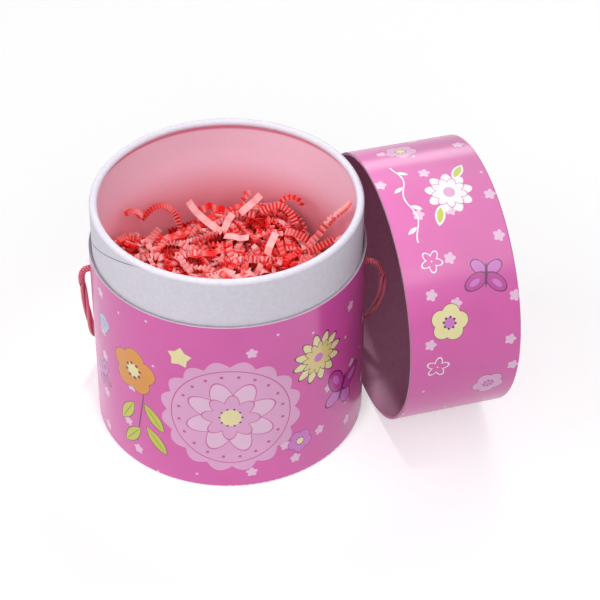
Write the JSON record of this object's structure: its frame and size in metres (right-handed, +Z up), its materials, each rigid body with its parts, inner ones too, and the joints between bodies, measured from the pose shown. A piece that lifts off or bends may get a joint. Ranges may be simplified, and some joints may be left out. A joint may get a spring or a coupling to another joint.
{
  "type": "cylindrical gift tube box",
  "caption": "Round paperboard gift tube with a printed sleeve, a white inner neck with rolled rim, a cord handle, a loose crinkle filler and a printed lift-off lid lying beside it.",
  "frame": {"origin": "centre of the underside of the box's base, on the surface it stands on", "axes": "+Z up along the tube's axis, -Y towards the viewer of the picture, +X towards the side where the lid lies"},
  "size_m": [0.2394, 0.1716, 0.15],
  "materials": {
    "greyboard": "matte raw board",
    "sleeve_print": "glossy printed paper",
    "base_print": "glossy printed paper",
    "lid_print": "glossy printed paper",
    "white_board": "matte white board",
    "pink_lining": "satin coloured paper",
    "cord": "twisted three strand cord",
    "shreds": "crinkle cut shreds of thin card"
  },
  "bodies": {
    "box": {"sleeve_board": "greyboard", "sleeve_wrap": "sleeve_print", "base_disc": "greyboard", "base_paper": "base_print", "neck_tube": "white_board", "neck_lining": "pink_lining", "floor_lining": "pink_lining", "handle_cord": "cord", "knot_left": "cord", "knot_right": "cord"},
    "shreds": {"filler": "shreds"},
    "lid": {"lid_board": "greyboard", "lid_disc": "greyboard", "lid_wrap": "lid_print", "lid_cover": "lid_print"}
  },
  "joints": [
    {"name": "lid_turn_over", "type": "hinge", "parent": "box", "child": "lid", "pos_m": [-0.02028, -0.03695, 0.11463], "axis": [0.4749, -0.855, 0.2084], "range_deg": [0, 92.6]},
    {"name": "filler_lift", "type": "slide", "parent": "box", "child": "shreds", "axis": [0, 0, 1], "range_m": [0, 0.142]}
  ]
}
